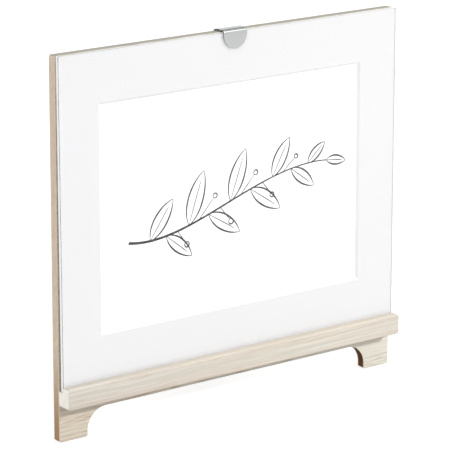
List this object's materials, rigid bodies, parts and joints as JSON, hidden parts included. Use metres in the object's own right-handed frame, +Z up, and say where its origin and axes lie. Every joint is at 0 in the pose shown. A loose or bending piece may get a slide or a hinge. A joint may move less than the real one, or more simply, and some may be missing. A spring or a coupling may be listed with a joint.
{
  "type": "picture frame",
  "caption": "Table-top picture frame: a veneered board on cut feet with a wooden ledge, a glazed and matted print under a spring clip, and a folding leg behind.",
  "frame": {"origin": "on the table, under the middle of the standing frame's box", "axes": "+X along the frame's width, to the right of someone who looks at the picture; +Y from the picture towards the leg; +Z up"},
  "size_m": [0.2304, 0.0678, 0.2097],
  "materials": {
    "core_board": "fine fibreboard, sanded and sealed on its edges",
    "face_veneer": "pale straight-grained veneer, clear satin lacquer",
    "back_veneer": "pale straight-grained veneer, clear satin lacquer",
    "ledge_wood": "pale solid wood, clear satin lacquer",
    "leg_wood": "pale solid wood, clear satin lacquer",
    "pane_glass": "clear picture glass with polished edges",
    "mat_card": "off-white mat card with a white core",
    "print_paper": "white matt paper with a thin printed line drawing",
    "clip_steel": "polished spring steel",
    "bracket_steel": "zinc plated sheet steel",
    "rivet_steel": "zinc plated, turned",
    "screw_steel": "zinc plated"
  },
  "bodies": {
    "frame": {"board_core": "core_board", "front_veneer": "face_veneer", "back_veneer": "back_veneer", "ledge": "ledge_wood", "ledge_screws": "screw_steel", "leg_bracket": "bracket_steel", "bracket_screws": "screw_steel", "leg_rivet": "rivet_steel"},
    "leg": {"folding_leg": "leg_wood"},
    "picture": {"glass_pane": "pane_glass", "mat_board": "mat_card", "print_sheet": "print_paper"},
    "clip": {"top_clip": "clip_steel"}
  },
  "joints": [
    {"name": "leg_fold", "type": "hinge", "parent": "frame", "child": "leg", "pos_m": [0, 0.00628, 0.13647], "axis": [-1, 0, 0], "range_deg": [0, 20]},
    {"name": "picture_lift", "type": "slide", "parent": "frame", "child": "picture", "axis": [0, 0.1791, 0.9838], "range_m": [0, 0.03]},
    {"name": "clip_lift", "type": "slide", "parent": "picture", "child": "clip", "axis": [0, 0.1736, 0.9848], "range_m": [0, 0.06]}
  ]
}
